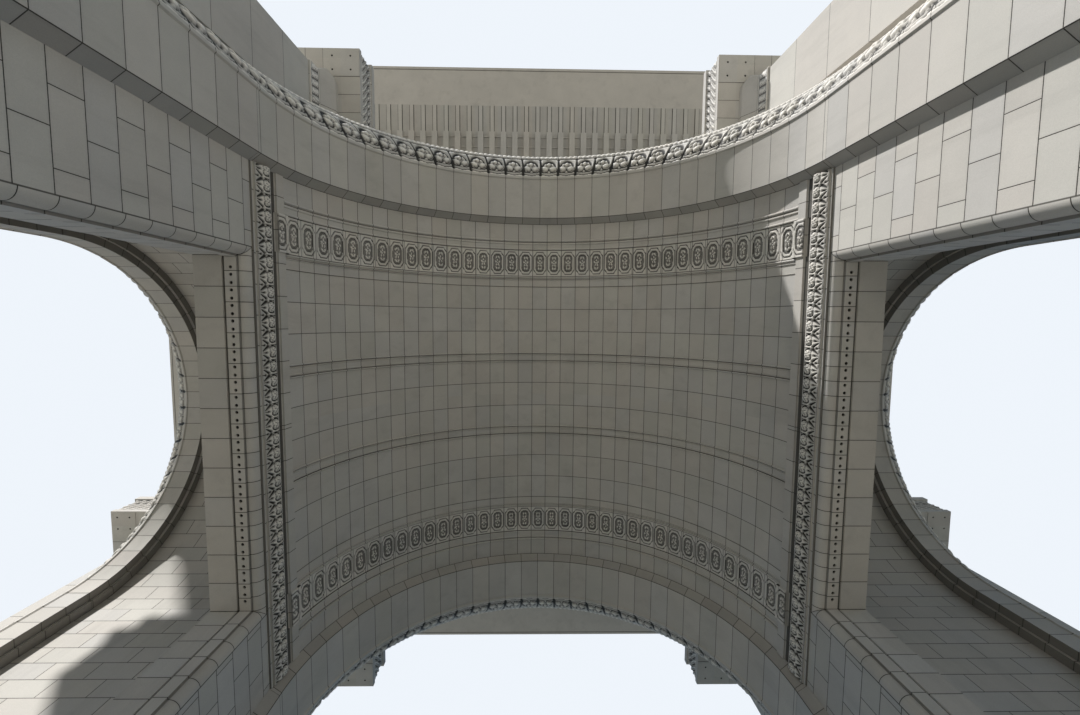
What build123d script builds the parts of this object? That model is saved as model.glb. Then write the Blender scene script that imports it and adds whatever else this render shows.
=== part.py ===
"""Four-way granite triumphal arch, made as a half-size model.

A main barrel vault runs front to back between two inner walls, each opened
by a tall square-headed doorway into a side passage with its own barrel vault.
Splayed arch rings stand on all four faces between projecting corner piers
with overhanging caps, and stepped tiers with wide eaves finish the top.
X is left to right, Y front to back, Z up, millimetres of the half-size model.
The origin is on the ground at the centre of the crossing.
"""
import os

from build123d import *

os.makedirs("parts", exist_ok=True)

# Fit between neighbouring blocks
joint = 0.5

# Main vault and its arch rings
vault_radius = 4650
spring_height = 8390
vault_half_length = 4400
ring_radius = 4480
ring_inner_face = 4525
ring_soffit_end = 5540
ring_outer_face = 6234
ring_outer_radius = 5230

# Recessed flower bands across the main vault and the raised strips at their feet
flower_band_position = 3408
flower_band_width = 665
flower_band_recess = 25
haunch_strip_start = 8
haunch_strip_end = 10.25
haunch_strip_relief = 30

# Side passages and their arch rings
passage_radius = 3750
passage_spring = 9620
side_ring_radius = 3430
side_ring_step = 160
side_ring_ledge = 60
side_ring_inner_face = 8800
side_ring_soffit_end = 9260
side_ring_outer_face = 10000
side_ring_outer_radius = 4300

# Inner walls with their square-headed doorways
inner_wall_thickness = 835
doorway_half_width = 2925
doorway_height = 8250
doorway_roll = 135

# Carved impost band along the springing
impost_fillet_height = 115
impost_fillet_depth = 30
impost_height = 420
impost_depth = 100
impost_hollow = 20

# Walls of the bays between the corner piers
bay_wall_reveal = 50
bay_half_width = 6030
side_bay_half_width = 4820
rebate_length = 946
rebate_depth = 450
shoulder_height = 16250

# Corner piers and their caps
pier_outer_x = 11935
pier_outer_y = 8615
strip_height = 535
strip_relief = 25
roll_height = 585
roll_projection = 300
roll_corner_radius = 450
roll_slope_height = 420
roll_foot = 50
cap_overhang = 925
cap_slab_height = 155
cap_setback = 235
cap_band_height = 1200
cap_fillet_height = 250
cap_fillet_projection = 100
cap_height = strip_height + roll_height + cap_slab_height + cap_band_height + cap_fillet_height
pier_height = shoulder_height - cap_height

# Upper body above the shoulders
body_half_x = 11075
body_half_y = 7800
recess_height = 1700
cove_height = 1550
frieze_height = 1650
cove_bottom = shoulder_height + recess_height
cove_top = cove_bottom + cove_height
body_top = cove_top + frieze_height

# First eave with its rafters
eave_half_x = 15890
eave_half_y = 12465
eave_edge_height = 600
eave_lip = 120
eave_lip_height = 45
eave_rise = 700
rafter_pitch = 480
rafter_bed = 40
thin_rafter_width = 150
thin_rafter_depth = 80
thin_rafter_reach = 3095
thick_rafter_width = 230
thick_rafter_depth = 190
thick_rafter_reach = 2000

# Stepped tiers above the first eave, each with its share of the wall height left
second_tier_half_x = 9900
second_tier_half_y = 6625
tier_step = 2200
tier_eave_reach = 2100
crown_eave_reach = 800
tier_eave_height = 400
tier_eave_rise = 500
crown_rise = 700
total_height = 30000
tiers = (
    ("second", 0.47, tier_eave_reach),
    ("third", 0.33, tier_eave_reach),
    ("crown", 0.2, crown_eave_reach),
)

sides = (("left", -1), ("right", 1))
fronts = (("front", -1), ("back", 1))


def ring_section(radius, outer_radius, soffit_end, outer_face, inner_points):
    """Plan section of one arch ring leg, with its splayed outer edge."""
    with BuildLine() as outline:
        Polyline(
            *inner_points,
            (radius, soffit_end),
            (outer_radius, outer_face),
            (outer_radius, inner_points[0][1]),
            close=True,
        )
    return outline.line


# Front and back arch rings
for front_name, front_sign in fronts:
    with BuildPart() as arch_ring:
        with BuildSketch(Plane.XY.offset(spring_height)) as leg_section:
            with BuildLine() as leg_line:
                add(
                    ring_section(
                        ring_radius,
                        ring_outer_radius,
                        ring_soffit_end,
                        ring_outer_face,
                        ((vault_radius, vault_half_length), (ring_radius, ring_inner_face)),
                    )
                )
            make_face()
            if front_sign < 0:
                mirror(about=Plane.XZ, mode=Mode.REPLACE)
        revolve(axis=Axis((0, 0, spring_height), (0, -1, 0)), revolution_arc=180)
        extrude(leg_section.sketch, amount=-spring_height)
        mirror(about=Plane.YZ)
    arch_ring.part.label = f"{front_name}_arch_ring"
    export_step(arch_ring.part, f"parts/{front_name}_arch_ring.step")

# Side arch rings with a stepped inner face
for side_name, side_sign in sides:
    with BuildPart() as side_ring:
        step_radius = side_ring_radius + side_ring_step
        passage_face = side_ring_inner_face - side_ring_ledge
        with BuildSketch(Plane.XY.offset(passage_spring)) as side_section:
            with BuildLine() as side_line:
                add(
                    ring_section(
                        side_ring_radius,
                        side_ring_outer_radius,
                        side_ring_soffit_end,
                        side_ring_outer_face,
                        (
                            (passage_radius - joint, passage_face),
                            (step_radius, passage_face),
                            (step_radius, side_ring_inner_face),
                            (side_ring_radius, side_ring_inner_face),
                        ),
                    ).rotate(Axis.Z, 90 * -side_sign)
                )
            make_face()
        side_axis = Axis((0, 0, passage_spring), (1, 0, 0))
        revolve(axis=side_axis, revolution_arc=180 * -side_sign)
        extrude(side_section.sketch, amount=-passage_spring)
        mirror(about=Plane.XZ)
    side_ring.part.label = f"{side_name}_arch_ring"
    export_step(side_ring.part, f"parts/{side_name}_arch_ring.step")

# Main vault, hollowed by one turned profile with a recess for each flower band
with BuildPart() as main_vault:
    wall_back = vault_radius + inner_wall_thickness
    with BuildSketch(Plane.XY.offset(spring_height + joint)):
        Rectangle(2 * wall_back - 2 * joint, 2 * vault_half_length - 2 * joint)
    extrude(amount=shoulder_height - spring_height - 2 * joint)
    band_radius = vault_radius + flower_band_recess
    band_low = flower_band_position - flower_band_width / 2
    band_high = flower_band_position + flower_band_width / 2
    with BuildSketch(Plane.XY.offset(spring_height)):
        with BuildLine():
            Polyline(
                (0, 0),
                (vault_radius, 0),
                (vault_radius, band_low),
                (band_radius, band_low),
                (band_radius, band_high),
                (vault_radius, band_high),
                (vault_radius, vault_half_length),
                (0, vault_half_length),
                close=True,
            )
        make_face()
        mirror(about=Plane.XZ)
    vault_axis = Axis((0, 0, spring_height), (0, -1, 0))
    revolve(axis=vault_axis, revolution_arc=180, mode=Mode.SUBTRACT)
    strip_radius = vault_radius - haunch_strip_relief
    strip_arc = haunch_strip_end - haunch_strip_start
    with BuildSketch(Plane.XZ.offset(-vault_half_length + joint)):
        with BuildLine():
            face_arc = CenterArc((0, spring_height), strip_radius, haunch_strip_start, strip_arc)
            back_arc = CenterArc((0, spring_height), band_radius, haunch_strip_start, strip_arc)
            Line(face_arc @ 0, back_arc @ 0)
            Line(face_arc @ 1, back_arc @ 1)
        make_face()
        mirror(about=Plane.YZ)
    extrude(amount=2 * (vault_half_length - joint))
main_vault.part.label = "main_vault"
export_step(main_vault.part, "parts/main_vault.step")

# Inner walls, doorways rounded on the side of the main passage
for side_name, side_sign in sides:
    with BuildPart() as inner_wall:
        wall_middle = vault_radius + inner_wall_thickness / 2
        with BuildSketch():
            with Locations((side_sign * wall_middle, 0)):
                Rectangle(inner_wall_thickness, 2 * vault_half_length - 2 * joint)
        extrude(amount=spring_height)
        with BuildSketch():
            with Locations((side_sign * wall_middle, 0)):
                Rectangle(2 * inner_wall_thickness, 2 * doorway_half_width)
        extrude(amount=doorway_height, mode=Mode.SUBTRACT)
        face_edges = inner_wall.edges().filter_by_position(
            Axis.X, side_sign * vault_radius - joint, side_sign * vault_radius + joint
        )
        near_door = face_edges.filter_by_position(
            Axis.Y, -doorway_half_width - joint, doorway_half_width + joint
        )
        fillet([edge for edge in near_door if edge.center().Z > joint
                and edge.center().Z < doorway_height + joint], doorway_roll)
    inner_wall.part.label = f"{side_name}_inner_wall"
    export_step(inner_wall.part, f"parts/{side_name}_inner_wall.step")

# Impost bands, their backs following the wall and the curve of the vault
for side_name, side_sign in sides:
    with BuildPart() as impost_band:
        back = vault_radius - joint
        fillet_top = spring_height + impost_fillet_height
        impost_top = spring_height + impost_height
        back_top = (back**2 - impost_height**2) ** 0.5
        middle_rise = impost_height / 2
        with BuildSketch(Plane.XZ.offset(-vault_half_length + joint)):
            with BuildLine():
                ThreePointArc(
                    (back, spring_height),
                    ((back**2 - middle_rise**2) ** 0.5, spring_height + middle_rise),
                    (back_top, impost_top),
                )
                Polyline(
                    (back_top, impost_top),
                    (back - impost_depth, impost_top),
                    (back - impost_depth, impost_top - impost_fillet_depth),
                )
                SagittaArc(
                    (back - impost_depth, impost_top - impost_fillet_depth),
                    (back - impost_fillet_depth, fillet_top),
                    impost_hollow,
                )
                Polyline(
                    (back - impost_fillet_depth, fillet_top),
                    (back - impost_fillet_depth, spring_height),
                    (back, spring_height),
                )
            make_face()
            if side_sign < 0:
                mirror(about=Plane.YZ, mode=Mode.REPLACE)
        extrude(amount=2 * (vault_half_length - joint))
    impost_band.part.label = f"{side_name}_impost_band"
    export_step(impost_band.part, f"parts/{side_name}_impost_band.step")

# Side passages, a barrel cut through the masonry between vault and bay wall
passage_inner_end = vault_radius + inner_wall_thickness
passage_outer_end = side_ring_inner_face - side_ring_ledge - joint
passage_length = passage_outer_end - passage_inner_end
for side_name, side_sign in sides:
    with BuildPart() as passage_vault:
        with BuildSketch(Plane.XY.offset(passage_spring + joint)):
            with Locations((side_sign * (passage_inner_end + passage_length / 2), 0)):
                Rectangle(passage_length, 2 * vault_half_length - 2 * joint)
        extrude(amount=shoulder_height - passage_spring - 2 * joint)
        with BuildSketch(Plane.YZ.offset(side_sign * passage_inner_end)):
            with Locations((0, passage_spring)):
                Circle(passage_radius)
        extrude(amount=side_sign * passage_length, mode=Mode.SUBTRACT)
    passage_vault.part.label = f"{side_name}_passage_vault"
    export_step(passage_vault.part, f"parts/{side_name}_passage_vault.step")

# Bay walls around the front and back arch rings
for front_name, front_sign in fronts:
    with BuildPart() as bay_wall:
        bay_face = ring_outer_face - bay_wall_reveal
        bay_start = vault_half_length + joint
        bay_depth = bay_face - bay_start
        opening_radius = ring_outer_radius + joint
        with BuildSketch():
            with Locations((0, front_sign * (bay_start + bay_depth / 2))):
                Rectangle(2 * bay_half_width - 2 * joint, bay_depth)
        extrude(amount=shoulder_height - joint)
        with BuildSketch(Plane.XZ.offset(-front_sign * bay_start)):
            with Locations((0, spring_height / 2)):
                Rectangle(2 * opening_radius, spring_height)
            with Locations((0, spring_height)):
                Circle(opening_radius)
        extrude(amount=-front_sign * bay_depth, mode=Mode.SUBTRACT)
    bay_wall.part.label = f"{front_name}_bay_wall"
    export_step(bay_wall.part, f"parts/{front_name}_bay_wall.step")

# Bay walls around the side arch rings
for side_name, side_sign in sides:
    with BuildPart() as side_wall:
        side_inner = side_ring_inner_face - side_ring_ledge
        side_face = side_ring_outer_face - bay_wall_reveal
        side_depth = side_face - side_inner
        opening_radius = side_ring_outer_radius + joint
        with BuildSketch():
            with Locations((side_sign * (side_inner + side_depth / 2), 0)):
                Rectangle(side_depth, 2 * side_bay_half_width - 2 * joint)
        extrude(amount=shoulder_height - joint)
        with BuildSketch(Plane.YZ.offset(side_sign * side_inner)):
            with Locations((0, passage_spring / 2)):
                Rectangle(2 * opening_radius, passage_spring)
            with Locations((0, passage_spring)):
                Circle(opening_radius)
        extrude(amount=side_sign * side_depth, mode=Mode.SUBTRACT)
    side_wall.part.label = f"{side_name}_bay_wall"
    export_step(side_wall.part, f"parts/{side_name}_bay_wall.step")

# Corner piers with a rebate beside each bay wall and the passage walls below the springing
for side_name, side_sign in sides:
    for front_name, front_sign in fronts:
        with BuildPart() as pier:
            inner_x = vault_radius + inner_wall_thickness + joint
            side_back = side_ring_inner_face - side_ring_ledge - joint
            rebate_x = side_face + rebate_length
            rebate_y = bay_face + rebate_length
            corner = (
                (bay_half_width, vault_half_length),
                (side_back, vault_half_length),
                (side_back, side_bay_half_width),
                (side_face, side_bay_half_width),
                (side_face, side_bay_half_width + rebate_depth),
                (rebate_x, side_bay_half_width + rebate_depth),
                (rebate_x, side_bay_half_width),
                (pier_outer_x, side_bay_half_width),
                (pier_outer_x, pier_outer_y),
                (bay_half_width, pier_outer_y),
                (bay_half_width, rebate_y),
                (bay_half_width + rebate_depth, rebate_y),
                (bay_half_width + rebate_depth, bay_face),
                (bay_half_width, bay_face),
            )
            with BuildSketch():
                with BuildLine():
                    Polyline(
                        *[(side_sign * x, front_sign * y) for x, y in corner], close=True
                    )
                make_face()
            extrude(amount=pier_height)
            wall_run = (
                (inner_x, passage_radius),
                (side_back, passage_radius),
                (side_back, vault_half_length),
                (inner_x, vault_half_length),
            )
            with BuildSketch():
                with BuildLine():
                    Polyline(
                        *[(side_sign * x, front_sign * y) for x, y in wall_run], close=True
                    )
                make_face()
            extrude(amount=passage_spring)
        pier.part.label = f"{front_name}_{side_name}_pier"
        export_step(pier.part, f"parts/{front_name}_{side_name}_pier.step")

# Pier caps with a carved strip, a rounded roll, a slab and a set-back band
for side_name, side_sign in sides:
    for front_name, front_sign in fronts:
        with BuildPart() as cap:
            size_x = pier_outer_x - bay_half_width
            size_y = pier_outer_y - side_bay_half_width
            middle_x = side_sign * (bay_half_width + size_x / 2)
            middle_y = front_sign * (side_bay_half_width + size_y / 2)
            centre = (middle_x, middle_y)
            strip_bottom = pier_height + joint
            roll_bottom = pier_height + strip_height
            slab_bottom = roll_bottom + roll_height
            band_bottom = slab_bottom + cap_slab_height
            band_top = band_bottom + cap_band_height
            for half, across, mode in (
                (size_x / 2, (1, 0, 0), Mode.ADD),
                (size_y / 2, (0, 1, 0), Mode.INTERSECT),
            ):
                roll_view = Plane(
                    origin=(middle_x, middle_y, roll_bottom),
                    x_dir=across,
                    z_dir=(across[1], -across[0], 0),
                )
                with BuildSketch(roll_view):
                    with BuildLine():
                        Polyline(
                            (0, roll_height),
                            (half + roll_projection, roll_height),
                            (half + roll_projection, roll_slope_height),
                            (half + roll_foot, 0),
                            (0, 0),
                        )
                        mirror(about=Plane.YZ)
                    make_face()
                extrude(amount=size_x, both=True, mode=mode)
            with BuildSketch(Plane.XY.offset(roll_bottom)):
                with Locations(centre):
                    RectangleRounded(
                        size_x + 2 * roll_projection,
                        size_y + 2 * roll_projection,
                        roll_corner_radius,
                    )
            extrude(amount=roll_height, mode=Mode.INTERSECT)
            with BuildSketch(Plane.XY.offset(strip_bottom)):
                with Locations(centre):
                    Rectangle(size_x + 2 * strip_relief, size_y + 2 * strip_relief)
            extrude(amount=strip_height)
            with BuildSketch(Plane.XY.offset(slab_bottom)):
                with Locations(centre):
                    Rectangle(size_x + 2 * cap_overhang, size_y + 2 * cap_overhang)
            extrude(amount=cap_slab_height)
            band_inset = cap_overhang - cap_setback
            with BuildSketch(Plane.XY.offset(band_bottom)):
                with Locations(centre):
                    Rectangle(size_x + 2 * band_inset, size_y + 2 * band_inset)
            extrude(amount=cap_band_height)
            top_inset = band_inset + cap_fillet_projection
            with BuildSketch(Plane.XY.offset(band_top)):
                with Locations(centre):
                    Rectangle(size_x + 2 * top_inset, size_y + 2 * top_inset)
            extrude(amount=shoulder_height - joint - band_top)
            with BuildSketch(Plane.XY.offset(strip_bottom - joint)):
                Rectangle(2 * bay_half_width, 2 * (bay_face + joint))
                Rectangle(2 * (side_face + joint), 2 * side_bay_half_width)
            extrude(amount=shoulder_height, mode=Mode.SUBTRACT)
        cap.part.label = f"{front_name}_{side_name}_pier_cap"
        export_step(cap.part, f"parts/{front_name}_{side_name}_pier_cap.step")

# Upper body, coved out over the four recessed bays
with BuildPart() as upper_body:
    with BuildSketch(Plane.XY.offset(shoulder_height)):
        Rectangle(2 * body_half_x, 2 * body_half_y)
    extrude(amount=body_top - shoulder_height)
    for front_name, front_sign in fronts:
        with BuildSketch(Plane.YZ.offset(-bay_half_width)):
            with BuildLine():
                Polyline(
                    (front_sign * bay_face, cove_bottom),
                    (front_sign * bay_face, shoulder_height),
                    (front_sign * (body_half_y + joint), shoulder_height),
                    (front_sign * (body_half_y + joint), cove_top),
                )
                EllipticalCenterArc(
                    (front_sign * (body_half_y + joint), cove_bottom),
                    body_half_y + joint - bay_face,
                    cove_top - cove_bottom,
                    start_angle=90,
                    arc_size=90 * front_sign,
                )
            make_face()
        extrude(amount=2 * bay_half_width, mode=Mode.SUBTRACT)
    for side_name, side_sign in sides:
        with BuildSketch(Plane.XZ.offset(-side_bay_half_width)):
            with BuildLine():
                Polyline(
                    (side_sign * side_face, cove_bottom),
                    (side_sign * side_face, shoulder_height),
                    (side_sign * (body_half_x + joint), shoulder_height),
                    (side_sign * (body_half_x + joint), cove_top),
                )
                EllipticalCenterArc(
                    (side_sign * (body_half_x + joint), cove_bottom),
                    body_half_x + joint - side_face,
                    cove_top - cove_bottom,
                    start_angle=90,
                    arc_size=90 * side_sign,
                )
            make_face()
        extrude(amount=2 * side_bay_half_width, mode=Mode.SUBTRACT)
upper_body.part.label = "upper_body"
export_step(upper_body.part, "parts/upper_body.step")


def eave_slab(half_x, half_y, bottom, height, rise, top_x, top_y):
    """Slab with a lipped lower edge and a sloping top, from its two side views."""
    slab_top = bottom + height
    with BuildPart() as slab:
        for view, half, top, mode in (
            (Plane.XZ, half_x, top_x, Mode.ADD),
            (Plane.YZ, half_y, top_y, Mode.INTERSECT),
        ):
            with BuildSketch(view):
                with BuildLine():
                    Polyline(
                        (0, bottom),
                        (half - eave_lip, bottom),
                        (half - eave_lip, bottom + eave_lip_height),
                        (half, bottom + eave_lip_height),
                        (half, slab_top),
                        (top, slab_top + rise),
                        (0, slab_top + rise),
                    )
                    mirror(about=Plane.YZ)
                make_face()
            extrude(amount=half_x, both=True, mode=mode)
    return slab.part


# First eave
first_eave = eave_slab(
    eave_half_x,
    eave_half_y,
    body_top + joint,
    eave_edge_height,
    eave_rise,
    second_tier_half_x + eave_edge_height,
    second_tier_half_y + eave_edge_height,
)
first_eave.label = "first_eave"
export_step(first_eave, "parts/first_eave.step")


def rafter_comb(run, reach, width, depth):
    """Row of ribs side by side under the eave, drawn as one comb section."""
    count = 2 * int((run + reach) / rafter_pitch) + 1
    with BuildSketch() as comb:
        with Locations((0, -rafter_bed / 2)):
            Rectangle(2 * (run + reach), rafter_bed)
        with GridLocations(rafter_pitch, 1, count, 1):
            with Locations((0, -depth / 2)):
                Rectangle(width, depth)
    return comb.sketch


def rafter_row(run, start):
    """Thin rafters outside and thick ones by the wall, mitred at both ends."""
    with BuildPart() as row:
        for reach, inner, width, depth in (
            (thin_rafter_reach, thick_rafter_reach, thin_rafter_width, thin_rafter_depth),
            (thick_rafter_reach, 0, thick_rafter_width, thick_rafter_depth),
        ):
            with BuildSketch(Plane.XZ.offset(start + inner)):
                with Locations((0, body_top)):
                    add(rafter_comb(run, reach, width, depth))
            extrude(amount=reach - inner)
        with BuildSketch(Plane.XY.offset(body_top - 2 * thick_rafter_depth)):
            with BuildLine():
                Polyline(
                    (-run + joint, -start),
                    (run - joint, -start),
                    (run - joint + thin_rafter_reach, -start - thin_rafter_reach),
                    (-run + joint - thin_rafter_reach, -start - thin_rafter_reach),
                    close=True,
                )
            make_face()
        extrude(amount=3 * thick_rafter_depth, mode=Mode.INTERSECT)
    return row.part


# Rafters under the first eave on all four sides
for row_name, turn, run, start in (
    ("front", 0, body_half_x, body_half_y),
    ("right", 90, body_half_y, body_half_x),
    ("back", 180, body_half_x, body_half_y),
    ("left", 270, body_half_y, body_half_x),
):
    rafters = rafter_row(run, start + joint).rotate(Axis.Z, turn)
    rafters.label = f"{row_name}_rafters"
    export_step(rafters, f"parts/{row_name}_rafters.step")

# Tier walls and the eaves over them
tier_base = body_top + joint + eave_edge_height + eave_rise
eaves_height = len(tiers) * (tier_eave_height + 2 * joint)
rises_height = (len(tiers) - 1) * tier_eave_rise + crown_rise
walls_height = total_height - tier_base - eaves_height - rises_height
base = tier_base + joint
for index, (tier_name, wall_share, reach) in enumerate(tiers):
    half_x = second_tier_half_x - index * tier_step
    half_y = second_tier_half_y - index * tier_step
    wall_height = walls_height * wall_share
    with BuildPart() as tier_wall:
        with BuildSketch(Plane.XY.offset(base)):
            Rectangle(2 * half_x, 2 * half_y)
        extrude(amount=wall_height)
    tier_wall.part.label = f"{tier_name}_tier_wall"
    export_step(tier_wall.part, f"parts/{tier_name}_tier_wall.step")
    eave_bottom = base + wall_height + joint
    if tier_name == "crown":
        rise = crown_rise
        ledge_x = half_x - reach
        ledge_y = half_y - reach
    else:
        rise = tier_eave_rise
        ledge_x = half_x - tier_step + tier_eave_height
        ledge_y = half_y - tier_step + tier_eave_height
    tier_eave = eave_slab(
        half_x + reach,
        half_y + reach,
        eave_bottom,
        tier_eave_height,
        rise,
        ledge_x,
        ledge_y,
    )
    tier_eave.label = f"{tier_name}_tier_eave"
    export_step(tier_eave, f"parts/{tier_name}_tier_eave.step")
    base = eave_bottom + tier_eave_height + rise + joint
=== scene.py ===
"""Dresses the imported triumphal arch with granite, carved bands, mouldings, light and a camera.

All lengths are metres of the half-size model, in the frame of the part:
X left to right, Y front to back, Z up, origin on the ground under the crossing.
"""

from math import cos, pi, radians, sin

import bmesh
import bpy
import numpy as np
from mathutils import Matrix, Vector


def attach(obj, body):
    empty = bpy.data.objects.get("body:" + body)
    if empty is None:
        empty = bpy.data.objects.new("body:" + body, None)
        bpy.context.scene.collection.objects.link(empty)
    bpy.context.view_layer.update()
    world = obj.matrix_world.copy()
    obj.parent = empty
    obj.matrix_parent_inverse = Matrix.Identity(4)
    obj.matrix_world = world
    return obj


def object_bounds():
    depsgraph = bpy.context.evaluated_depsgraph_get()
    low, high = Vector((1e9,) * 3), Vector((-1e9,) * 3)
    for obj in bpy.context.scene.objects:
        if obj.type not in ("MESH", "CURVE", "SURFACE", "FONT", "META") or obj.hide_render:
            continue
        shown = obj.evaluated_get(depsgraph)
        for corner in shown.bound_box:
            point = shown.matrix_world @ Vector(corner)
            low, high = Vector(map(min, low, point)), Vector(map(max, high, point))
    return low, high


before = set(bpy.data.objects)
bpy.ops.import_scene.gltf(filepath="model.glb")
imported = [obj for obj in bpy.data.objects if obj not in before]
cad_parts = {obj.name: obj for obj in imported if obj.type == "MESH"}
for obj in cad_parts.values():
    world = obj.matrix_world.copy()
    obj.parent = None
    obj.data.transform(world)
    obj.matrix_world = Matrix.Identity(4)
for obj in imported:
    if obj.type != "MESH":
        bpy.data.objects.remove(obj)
cad_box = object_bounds()
scene = bpy.context.scene

# Main vault and the front and back arch rings
spring = 8.39
vault_radius = 4.65
vault_half = 4.4
ring_chamfer_end = 4.525
ring_joint_radius = 4.915
ring_outer_radius = 5.23
ring_outer_face = 6.234
ring_carving_start = (4.47, 5.478)
ring_bulge = 0.1
ring_swell = 0.2
ring_border = 0.06
voussoir_degrees = 5.57
joint_start_degrees = 90.1
tile_degrees = 4.557
medallion_degrees = 4.5
strip_degrees = 8.0
haunch_degrees = 10.25
strip_radius = 4.62
strip_block = 0.57
strip_start = 0.035
vault_lines = (0.3, 0.875, 1.06, 1.65, 2.225, 2.8, 3.0, 3.0755, 3.7405, 3.94, 4.396)

# Side passages and their arch rings
side_spring = 9.62
passage_radius = 3.75
passage_row_degrees = 5.5
side_joint_radius = 3.6
side_outer_radius = 4.3
side_outer_face = 10.0
side_step_end = 8.81
side_carving_start = (3.42, 9.205)
side_bulge = 0.06
side_voussoir_degrees = 6.9

# Flower bands, cross ribs and the impost band of the main vault
flower_band = (3.0755, 3.7405)
band_recess = 0.025
impost_bottom = 8.445
impost_top = 8.78
impost_pitch = 0.2475
impost_course = 3.0
impost_level = 7.0

# Courses of the walls, and a width for those that are one undivided block
course = 0.36
block = 0.76
wall_level = 8.21
wall_start = -0.264
passage_wall_end = 8.745
undivided = 60.0

# Doorways and the flat strips round them
door_half = 2.925
door_top = 8.25
door_roll = 0.135
wall_back = 5.485
strip_split = 5.0
strip_gap = 0.014
dot_pitch = 0.12125
dot_radius = 0.027

# Corner piers and their caps
bay_half = 6.03
side_bay_half = 4.82
bay_face = 6.184
side_face = 9.95
pier_x = 11.935
pier_y = 8.615
pier_top = 13.525
pier_course = 1.25
strip_zone = (13.55, 14.04)
strip_relief = 0.025
slab_bottom = 14.645
slab_reach = 0.925
band_zone = (14.835, 15.55)
band_reach = 0.865
band_root = 0.19
crown_slab = ((0.68, 15.545), (0.96, 15.545), (0.96, 15.75), (0.68, 15.75))
corner_slab = (6.13, 8.78)
side_slab_width = 0.73
side_slab_end = 4.62
slab_pitch = 0.4925
slab_files_end = 11.86
slab_files_start = 4.65
cap_block = 1.94
cap_course = 3.0
cap_level = 13.0

# Body, tiers and first eave
body_block = 1.5
body_course = 0.6
body_level = 16.25
body_half_x = 11.075
body_half_y = 7.8
tier_block = 1.4
tier_course = 0.55
tier_level = 22.45
eave_block = 1.2
eave_course = 0.95
eave_bottom = 21.15
eave_x, eave_y = cad_box[1][:2]
eave_groove = 0.13
rafter_bed = 21.11
rafter_pitch = 0.48
rafter_half = 0.075
batten_reaches = (1.425, 1.835)
batten_half = 0.02
batten_bottom = rafter_bed - 0.035

# Camera of the photograph, with its turns in radians, and the sunlight
photo_width = 1080
focal_pixels = 465.74
camera_place = (-0.1868, -1.9148, 0.8)
camera_turns = (("Z", -0.0071), ("Y", 0.0165), ("X", -0.078))
sun_direction = (0.45, 0.67, -0.59)
sun_colour = (1.0, 0.985, 0.965)
sky_seen = (0.86, 0.91, 0.97, 1.0)
sky_light = (0.37, 0.64, 1.0, 1.0)
floor_colour = (0.43, 0.4, 0.335, 1.0)

# The arch's sides, ends and corner piers with their signs along X and Y
left_and_right = (("left", -1), ("right", 1))
front_and_back = (("front", -1), ("back", 1))
corner_piers = [
    (f"{end}_{side}", sign_x, sign_y) for side, sign_x in left_and_right for end, sign_y in front_and_back
]

# Added to the number of a row of blocks on the other side, so that its tints differ
other_side = 20.0


class Net:
    """Short ways to add nodes to one material or world."""

    def __init__(self, owner):
        owner.use_nodes = True
        self.tree = owner.node_tree
        self.tree.nodes.clear()

    def add(self, kind, inputs=None, **settings):
        node = self.tree.nodes.new("ShaderNode" + kind)
        for name, value in settings.items():
            setattr(node, name, value)
        for name, value in (inputs or {}).items():
            self.feed(value, node.inputs[name])
        return node

    def feed(self, value, socket):
        if isinstance(value, bpy.types.NodeSocket):
            self.tree.links.new(value, socket)
        else:
            socket.default_value = value

    def math(self, operation, *values):
        return self.add("Math", dict(enumerate(values)), operation=operation).outputs[0]

    def minus(self, first, second):
        return self.math("SUBTRACT", first, second)

    def ratio(self, first, second):
        return self.math("DIVIDE", first, second)

    def above(self, value, limit):
        return self.math("GREATER_THAN", value, limit)

    def below(self, value, limit):
        return self.math("LESS_THAN", value, limit)

    def choose(self, switch, when_one, when_zero):
        """One value where switch is 1 and the other where it is 0."""
        return self.add("Mix", {"Factor": switch, "A": when_zero, "B": when_one}).outputs[0]

    def choose_cell(self, switch, when_one, when_zero):
        """One set of three numbers where switch is 1 and the other where it is 0."""
        return self.add("Mix", {0: switch, 4: when_zero, 5: when_one}, data_type="VECTOR").outputs[1]

    def cell(self, *values):
        return self.add("CombineXYZ", dict(enumerate(values))).outputs[0]

    def blend(self, factor, first, second, mode="MIX"):
        colours = {0: factor, 6: first, 7: second}
        return self.add("Mix", colours, data_type="RGBA", blend_type=mode).outputs[2]

    def dim(self, colour, factor):
        """Colour made lighter or darker by a factor."""
        return self.blend(1.0, colour, self.cell(factor, factor, factor), "MULTIPLY")

    def noise(self, vector, scale, detail, roughness):
        settings = {"Vector": vector, "Scale": scale, "Detail": detail, "Roughness": roughness}
        return self.add("TexNoise", settings).outputs["Fac"]

    def span(self, value, low, high, low_out=0.0, high_out=1.0):
        """Value carried from one range to another, kept inside the second."""
        return self.add("MapRange", {"Value": value, 1: low, 2: high, 3: low_out, 4: high_out}).outputs[0]

    def size_of(self, value):
        return self.math("ABSOLUTE", value)

    def both(self, first, second):
        """Product, and so also 1 only where two switches are both 1."""
        return self.math("MULTIPLY", first, second)

    def edge_of(self, along, size):
        """Distance to the nearer end of a block, from a count of blocks along."""
        part = self.math("FRACT", along)
        off_middle = self.size_of(self.minus(part, 0.5))
        return self.both(self.minus(0.5, off_middle), size)

    def nearest_line(self, value, lines):
        """Distance to the nearest of a few fixed lines, and the number of lines passed."""
        distance = 10.0
        passed = 0.0
        for line in lines:
            gap = self.size_of(self.minus(value, line))
            distance = self.math("MINIMUM", gap, distance)
            passed = self.math("ADD", self.above(value, line), passed)
        return distance, passed


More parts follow.
